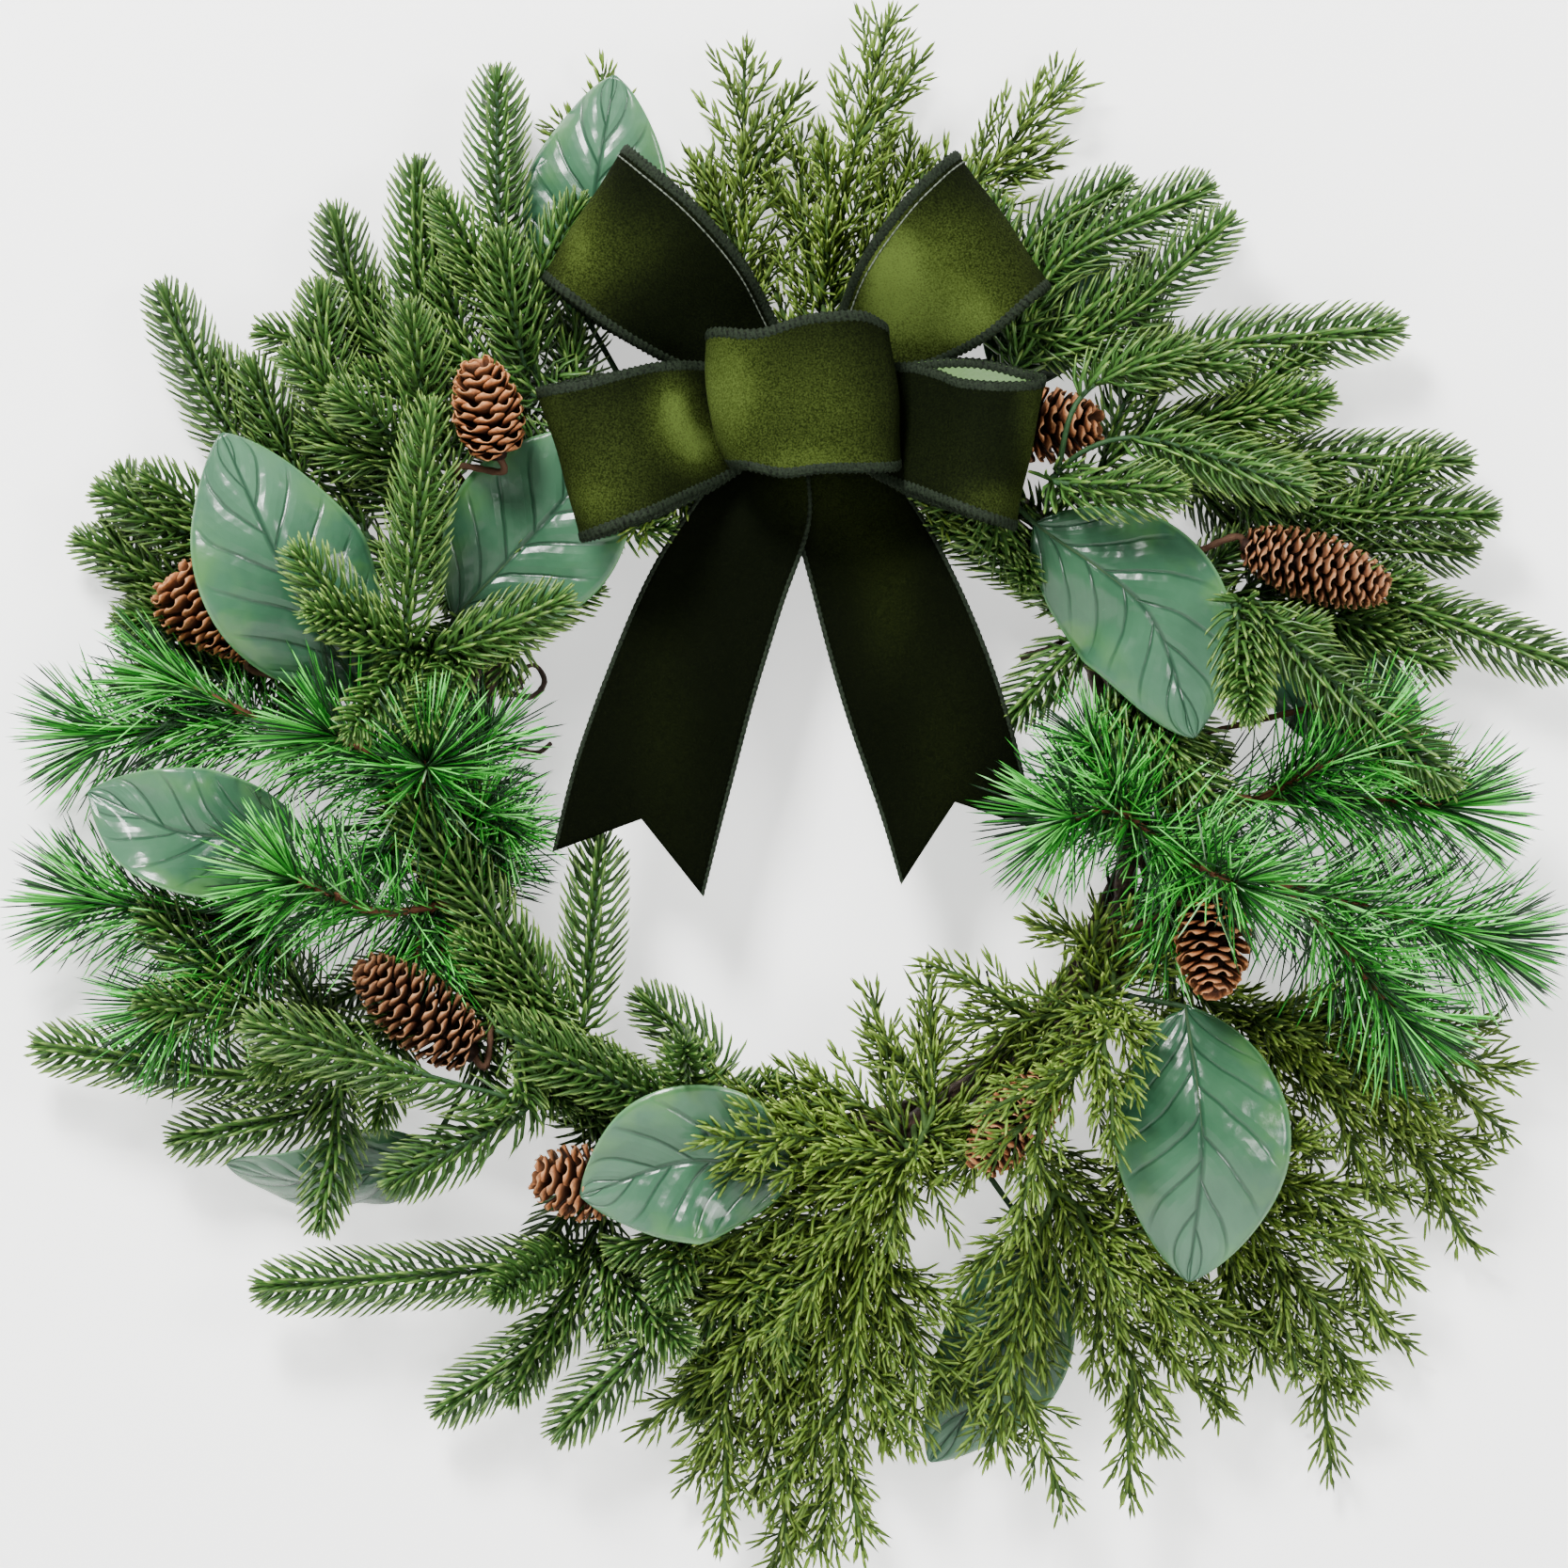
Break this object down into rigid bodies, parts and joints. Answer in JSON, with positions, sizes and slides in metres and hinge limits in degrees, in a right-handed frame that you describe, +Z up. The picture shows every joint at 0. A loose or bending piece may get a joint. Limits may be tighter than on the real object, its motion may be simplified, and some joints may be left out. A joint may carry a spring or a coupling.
{
  "type": "pine cone christmas wreath",
  "caption": "Round evergreen wreath on a twisted vine ring, with moulded spruce, cedar and pine sprays, magnolia leaves, pine cones and a looped velvet bow, to hang on a door.",
  "frame": {"origin": "the point of the ring's inner top that rests on a door hook, half way through the ring's depth", "axes": "+Z up as the wreath hangs, -Y out of the wreath's front towards the viewer, +Y towards the door, +X to the right seen from the front"},
  "size_m": [0.6311, 0.1068, 0.6379],
  "materials": {
    "vine": "rough bark",
    "velvet": "velvet pile",
    "wire": "satin",
    "leaf": "waxy gloss",
    "cone": "dry woody scales",
    "spruce": "satin",
    "cedar": "matt",
    "pine": "satin"
  },
  "bodies": {
    "root": {"cedar_bottom": "cedar", "cedar_bottom_front": "cedar", "cedar_bottom_right": "cedar", "cedar_inner_right": "cedar", "cedar_lower_right": "cedar", "cedar_right_low": "cedar", "cedar_top": "cedar", "cedar_top_left": "cedar", "cone_bottom_left": "cone", "cone_bottom_right": "cone", "cone_bow_left": "cone", "cone_bow_right": "cone", "cone_left": "cone", "cone_lower_left": "cone", "cone_lower_right": "cone", "cone_right": "cone", "cone_right_back": "cone", "grapevine_ring": "vine", "leaf_bottom": "leaf", "leaf_bottom_back": "leaf", "leaf_bow_left": "leaf", "leaf_left": "leaf", "leaf_left_front": "leaf", "leaf_lower_left": "leaf", "leaf_lower_right": "leaf", "leaf_right": "leaf", "leaf_right_back": "leaf", "leaf_top": "leaf", "leaf_top_right": "leaf", "pine_left_front": "pine", "pine_left_inner": "pine", "pine_left_lower": "pine", "pine_left_upper": "pine", "pine_right_inner": "pine", "pine_right_lower": "pine", "pine_right_upper": "pine", "ribbon_centre_loop": "velvet", "ribbon_loops_lower": "velvet", "ribbon_loops_upper": "velvet", "ribbon_tails": "velvet", "spruce_bottom": "spruce", "spruce_bottom_inner": "spruce", "spruce_bottom_left": "spruce", "spruce_bottom_left_low": "spruce", "spruce_bow_right": "spruce", "spruce_far_left": "spruce", "spruce_left_front": "spruce", "spruce_left_high": "spruce", "spruce_left_inner": "spruce", "spruce_left_outer": "spruce", "spruce_lower_left": "spruce", "spruce_lower_left_front": "spruce", "spruce_right_front": "spruce", "spruce_right_inner": "spruce", "spruce_right_long": "spruce", "spruce_right_mid": "spruce", "spruce_top_left": "spruce", "spruce_top_left_tall": "spruce", "spruce_top_right": "spruce", "tie_wire": "wire"}
  },
  "joints": []
}
